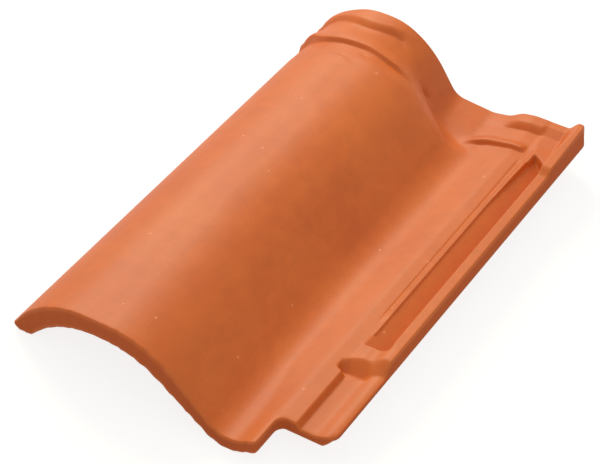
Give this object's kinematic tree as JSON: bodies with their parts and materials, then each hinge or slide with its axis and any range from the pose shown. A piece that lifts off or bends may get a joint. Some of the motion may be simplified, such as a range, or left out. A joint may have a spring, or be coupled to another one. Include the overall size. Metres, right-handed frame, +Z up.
{
  "type": "clay roof tile",
  "caption": "Interlocking clay roof tile with a barrel, a pan, a channelled side lock, head beads and a hanging nib, moulded in one piece.",
  "frame": {"origin": "centre of the footprint on the floor, with the tile lying on its barrel foot and the underside of its pan", "axes": "+Y along the tile from its tail to its head, +X across it from the barrel to the side lock, +Z up from the floor"},
  "size_m": [0.2462, 0.412, 0.056],
  "materials": {
    "fired_clay": "matt, unglazed, terracotta orange"
  },
  "bodies": {
    "root": {"clay_tile": "fired_clay"}
  },
  "joints": []
}
